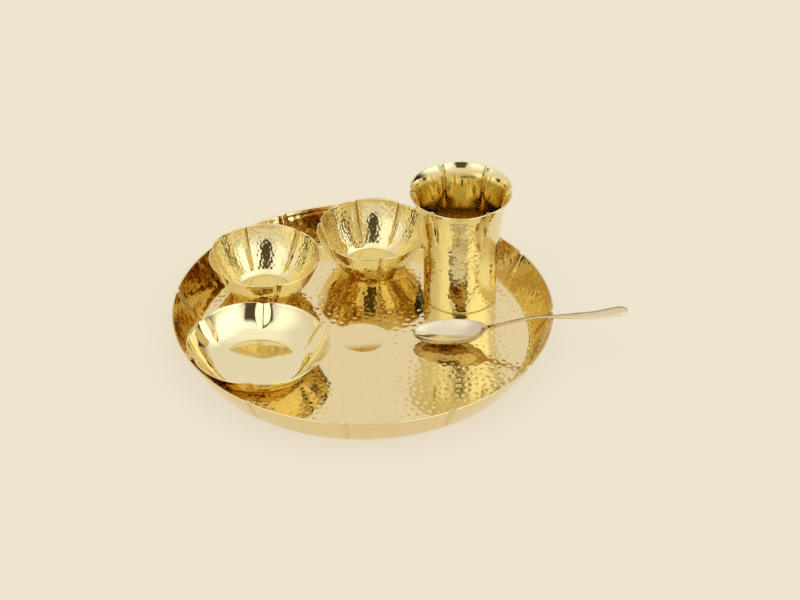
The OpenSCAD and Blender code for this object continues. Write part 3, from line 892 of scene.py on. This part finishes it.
# %% [markdown]
# Every cross-section becomes a closed ring of points that runs across the top, round the thin edge and back
# below, and rings that follow each other are joined by faces. The metal thins towards its edges. A fine
# groove beside the edge of the handle's wide end is its engraved border.

# %% Mesh of the spoon
SPOON_ACROSS = 45
EDGE_POWER = 7
THIN_BELOW_WIDE = 2.5
BORDER_IN = 1.3
BORDER_WIDE = 0.5
BORDER_DEEP = 0.3
BORDER_START = 0.62
BORDER_FADE = 12


def spoon_mesh():
    s, half_w, edge, hollow = spoon_rows()
    v = np.sin(np.linspace(-math.pi / 2, math.pi / 2, SPOON_ACROSS))
    y = half_w[:, None] * v
    body = edge[:, None] - hollow[:, None] * (1 - v ** 2)
    thick = SPOON["wall"] * np.sqrt(np.clip(1 - np.abs(v) ** EDGE_POWER, 0, 1))
    thick = thick * np.minimum(1, half_w / THIN_BELOW_WIDE)[:, None]
    from_end = np.minimum(half_w[:, None] * (1 - np.abs(v)), s[-1] - s[:, None])
    border = BORDER_DEEP * np.exp(-((from_end - BORDER_IN) / BORDER_WIDE) ** 2)
    border_from = SPOON["bowl_l"] / 2 + BORDER_START * SPOON["handle_l"]
    border *= ease((s - border_from) / BORDER_FADE)[:, None]
    middle = body - SPOON["wall"] / 2
    top, low = middle + thick / 2 - border, middle - thick / 2
    along = np.repeat(s[:, None], SPOON_ACROSS, axis=1)
    upper = np.stack([along, y, top], axis=2)
    lower = np.stack([along, y, low], axis=2)[:, -2:0:-1]
    ring = np.concatenate([upper, lower], axis=1)
    rows, n = ring.shape[:2]
    faces = [face for i in range(rows - 1) for face in between((i + 1) * n, n, i * n, n)]
    faces += [tuple(range(n)), tuple(range((rows - 1) * n, rows * n))[::-1]]
    mesh = bpy.data.meshes.new("nickel_spoon")
    mesh.from_pydata((ring.reshape(-1, 3) * MM).tolist(), [], faces)
    mesh.polygons.foreach_set("use_smooth", [True] * len(mesh.polygons))
    return mesh


spoon_shape = spoon_mesh()
print("spoon:", len(spoon_shape.polygons), "faces")

# %% [markdown]
# Nickel silver is copper, nickel and zinc, a pale warm grey. It was buffed along its length, so the eye gets
# a soft, streaky mirror image, and washed with gold. The wash has worn off the bowl and paled towards the
# end, so the handle is the most golden.

# %% Metal of the spoon
SPOON_WAY = math.radians(-4.6)
BUFF_STRETCH = 0.05
SPOON_DULL = (0.09, 0.17)
WASH_FROM, WASH_TO = 90 * MM, 200 * MM
SPOON_WASH = [(0.0, "#d6c7aa"), (0.15, "#cdb384"), (0.5, "#cfb78a"), (0.9, "#e2d1ac")]


def nickel_silver():
    material = bpy.data.materials.new("nickel silver, buffed")
    material.use_nodes = True
    tree = material.node_tree
    tree.nodes.clear()
    where = add(tree, "ShaderNodeTexCoord").outputs["Object"]
    turned = add(tree, "ShaderNodeMapping", {"Vector": where, "Rotation": (0, 0, -SPOON_WAY),
                                             "Scale": (BUFF_STRETCH, 1.0, 1.0)})
    lines = add(tree, "ShaderNodeTexNoise", {"Vector": turned.outputs[0], "Scale": 1 / ARC_PITCH,
                                             "Detail": 2.0})
    grain = add(tree, "ShaderNodeTexNoise", {"Vector": where, "Scale": 1 / GRAIN_SIZE, "Detail": 4.0})
    dull = add(tree, "ShaderNodeMapRange", {"Value": grain.outputs["Fac"], "From Min": GRAIN_FELT[0],
                                            "From Max": GRAIN_FELT[1], "To Min": SPOON_DULL[0],
                                            "To Max": SPOON_DULL[1]})
    fine = add(tree, "ShaderNodeBump", {"Strength": 1.0, "Distance": ARC_DEEP,
                                        "Height": lines.outputs["Fac"]})
    part = add(tree, "ShaderNodeSeparateXYZ", {0: where})
    along = add(tree, "ShaderNodeMapRange", {"Value": part.outputs["X"], "From Min": WASH_FROM,
                                             "From Max": WASH_TO})
    wash = colours_along(tree, along.outputs[0], SPOON_WASH)
    shader = add(tree, "ShaderNodeBsdfPrincipled",
                 {"Base Color": wash, "Metallic": 1.0, "Roughness": dull.outputs[0],
                  "Normal": fine.outputs[0]})
    add(tree, "ShaderNodeOutputMaterial", {"Surface": shader.outputs[0]})
    return material


spoon_metal = nickel_silver()
print(spoon_metal.name, "has", len(spoon_metal.node_tree.nodes), "nodes")

# %% [markdown]
# The spoon leans with its bowl on the floor of the plate and its handle over the plate's rim. It is tilted
# and turned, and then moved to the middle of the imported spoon's box and down to its lowest point.

# %% Spoon in its place
SPOON_LEAN = math.radians(5.563)


def place_spoon(mesh, metal):
    mesh.transform(Matrix.Rotation(SPOON_WAY, 4, "Z") @ Matrix.Rotation(-SPOON_LEAN, 4, "Y"))
    points = np.array([v.co for v in mesh.vertices])
    low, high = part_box("spoon")
    shift = (np.array(low) + np.array(high) - points.min(axis=0) - points.max(axis=0)) / 2
    shift[2] = low.z - points[:, 2].min()
    mesh.transform(Matrix.Translation(Vector(shift)))
    mesh.materials.append(metal)
    piece = bpy.data.objects.new("nickel_spoon", mesh)
    bpy.context.scene.collection.objects.link(piece)
    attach(piece, "spoon")
    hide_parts("spoon")
    print("spoon top", round((points[:, 2].max() + shift[2]) / MM, 1), "mm")
    return piece


spoon = place_spoon(spoon_shape, spoon_metal)

# %% [markdown]
# The picture is shown as plain sRGB, with no film look, so that the written colours can be trusted.

# %% Finish
bpy.context.scene.view_settings.view_transform = "Standard"
